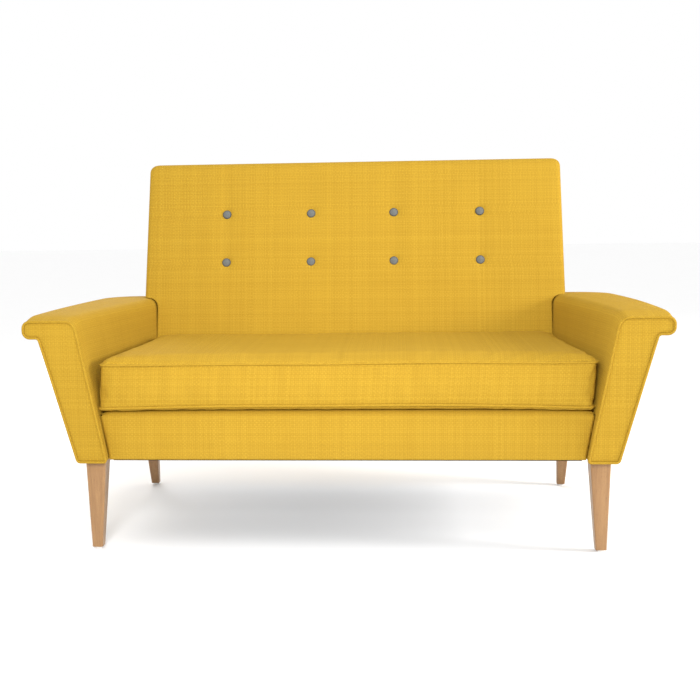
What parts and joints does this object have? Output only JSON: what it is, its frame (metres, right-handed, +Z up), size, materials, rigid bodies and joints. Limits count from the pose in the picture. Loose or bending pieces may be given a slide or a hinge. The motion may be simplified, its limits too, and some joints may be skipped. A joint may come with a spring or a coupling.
{
  "type": "sofa with wooden legs",
  "caption": "Upholstered sofa with flared rolled-lip arms, raked buttoned back, one loose boxed seat cushion and tapered wooden legs.",
  "frame": {"origin": "on the floor under the middle of the sofa's box", "axes": "+Z up, the front of the sofa faces -Y, and +X runs to the right of a person who looks at the front"},
  "size_m": [1.4798, 0.78, 0.933],
  "materials": {
    "yellow_fabric": "matte",
    "yellow_piping": "matte",
    "leg_wood": "satin",
    "frame_wood": "matte",
    "frame_ply": "matte",
    "foam": "matte",
    "black_cloth": "matte",
    "webbing": "matte",
    "button_cloth": "matte",
    "twine": "matte",
    "toggle_plastic": "matte",
    "spring_steel": "satin",
    "glide_nylon": "satin",
    "zip_tape": "matte",
    "zip_metal": "satin"
  },
  "bodies": {
    "frame": {"arm_cover_left": "yellow_fabric", "arm_cover_right": "yellow_fabric", "arm_facing_left": "yellow_fabric", "arm_facing_right": "yellow_fabric", "arm_foam_left": "foam", "arm_foam_right": "foam", "arm_front_board_left": "frame_ply", "arm_front_board_right": "frame_ply", "arm_piping_left": "yellow_piping", "arm_piping_right": "yellow_piping", "arm_rear_board_left": "frame_ply", "arm_rear_board_right": "frame_ply", "arm_top_rail_left": "frame_wood", "arm_top_rail_right": "frame_wood", "back_buttons": "button_cloth", "back_centre_upright": "frame_wood", "back_foam": "foam", "back_lower_rail": "frame_wood", "back_top_rail": "frame_wood", "back_upright_left": "frame_wood", "back_upright_right": "frame_wood", "back_webbing": "webbing", "button_toggles": "toggle_plastic", "button_twines": "twine", "corner_blocks": "frame_wood", "dust_cover": "black_cloth", "front_border_cover": "yellow_fabric", "front_border_pad": "foam", "front_leg_left": "leg_wood", "front_leg_right": "leg_wood", "front_rail": "frame_wood", "glides": "glide_nylon", "inside_back_cover": "yellow_fabric", "leg_bolts": "spring_steel", "leg_inserts": "spring_steel", "outside_back_panel": "yellow_fabric", "platform_cloth": "black_cloth", "platform_pad": "foam", "rear_leg_left": "leg_wood", "rear_leg_right": "leg_wood", "rear_rail": "frame_wood", "seat_springs": "spring_steel", "seat_stretcher": "frame_wood", "side_rail_left": "frame_wood", "side_rail_right": "frame_wood", "spring_clips": "spring_steel"},
    "seat_cushion": {"cushion_foam": "foam", "cushion_cover": "yellow_fabric", "cushion_piping_top": "yellow_piping", "cushion_piping_foot": "yellow_piping", "cushion_zip_tape": "zip_tape"},
    "zip_slider": {"zip_slider": "zip_metal"}
  },
  "joints": [
    {"name": "cushion_lift", "type": "slide", "parent": "frame", "child": "seat_cushion", "axis": [0, 0, 1], "range_m": [0, 0.25]},
    {"name": "zip_run", "type": "slide", "parent": "seat_cushion", "child": "zip_slider", "axis": [1, 0, 0], "range_m": [0, 0.8]}
  ]
}
